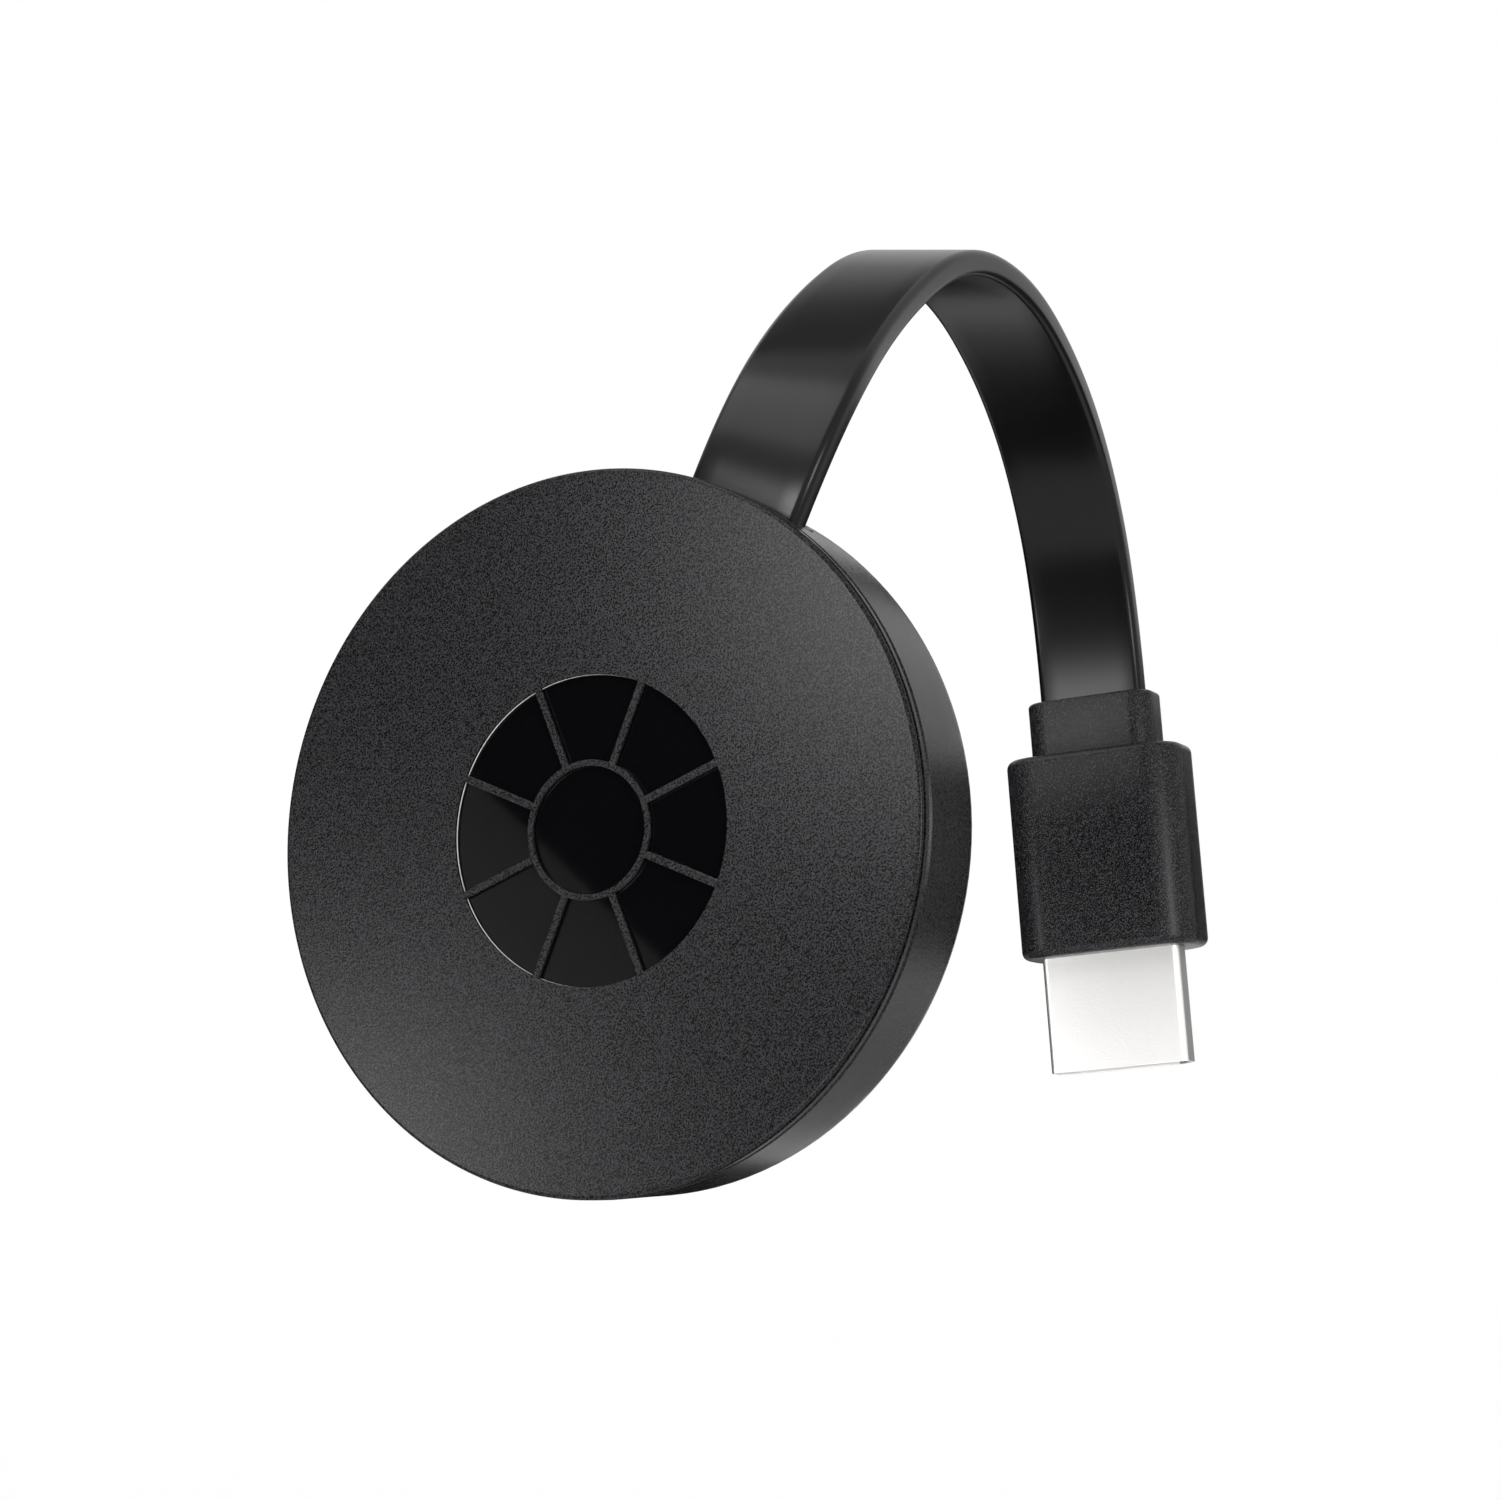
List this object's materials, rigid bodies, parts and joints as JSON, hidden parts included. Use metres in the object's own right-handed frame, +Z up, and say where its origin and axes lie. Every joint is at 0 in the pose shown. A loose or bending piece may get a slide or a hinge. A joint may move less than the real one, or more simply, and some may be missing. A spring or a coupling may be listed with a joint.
{
  "type": "streaming media player",
  "caption": "Round flat wireless display adapter with a short flat cable ending in a plug, and a socket, a button and a light on its rim.",
  "frame": {"origin": "the middle of the plug's metal shell where it leaves the grip; the plug holds the player up", "axes": "+Z up, -Y the way the round face looks, +X to the right seen from the front"},
  "size_m": [0.058, 0.0882, 0.0836],
  "materials": {
    "abs_matte": "fine spark-eroded grain",
    "abs_gloss": "polished",
    "adhesive": "double-sided tape",
    "circuit_board": "green solder mask",
    "tinned_steel": "tinned",
    "epoxy_package": "moulded epoxy",
    "thermal_pad": "soft silicone",
    "aluminium_sheet": "rolled",
    "antenna_board": "solder mask",
    "ptfe_lead": "extruded",
    "ceramic_part": "sintered",
    "ferrite": "sintered",
    "liquid_crystal_polymer": "moulded",
    "led_lens": "clear moulded",
    "zinc_screw": "zinc plated",
    "pvc_satin": "satin extruded",
    "pvc_grained": "fine moulded grain",
    "copper_wire": "bare copper",
    "nickel_steel": "nickel plated",
    "gilt_contact": "gold plated"
  },
  "bodies": {
    "player": {"front_cover": "abs_matte", "rear_housing": "abs_matte", "gloss_inlay": "abs_gloss", "inlay_adhesive": "adhesive", "main_board": "circuit_board", "shield_can": "tinned_steel", "soc_chip": "epoxy_package", "memory_chip": "epoxy_package", "thermal_pad": "thermal_pad", "heat_spreader": "aluminium_sheet", "flash_chip": "epoxy_package", "radio_module": "tinned_steel", "antenna": "antenna_board", "antenna_lead": "ptfe_lead", "crystal": "tinned_steel", "power_inductor": "ferrite", "capacitors": "ceramic_part", "usb_socket_shell": "nickel_steel", "usb_socket_tongue": "liquid_crystal_polymer", "tact_switch": "liquid_crystal_polymer", "status_led": "led_lens", "light_pipe": "led_lens", "board_screws": "zinc_screw", "cable_grommet": "pvc_grained", "cable_tail": "pvc_satin", "conductor_tails": "copper_wire", "cable_clamp": "abs_matte", "clamp_screws": "zinc_screw", "hdmi_cable": "pvc_satin", "plug_collar": "pvc_grained", "plug_grip": "pvc_grained", "plug_inner_mould": "pvc_grained", "plug_shell": "nickel_steel", "plug_insulator": "liquid_crystal_polymer", "plug_contacts_upper": "gilt_contact", "plug_contacts_lower": "gilt_contact"},
    "reset_key": {"reset_button": "abs_matte", "switch_plunger": "liquid_crystal_polymer"}
  },
  "joints": [
    {"name": "reset_press", "type": "slide", "parent": "player", "child": "reset_key", "axis": [0.7431, 0, 0.6691], "range_m": [0, 0.0003], "stiffness_N_per_m": 4000}
  ]
}
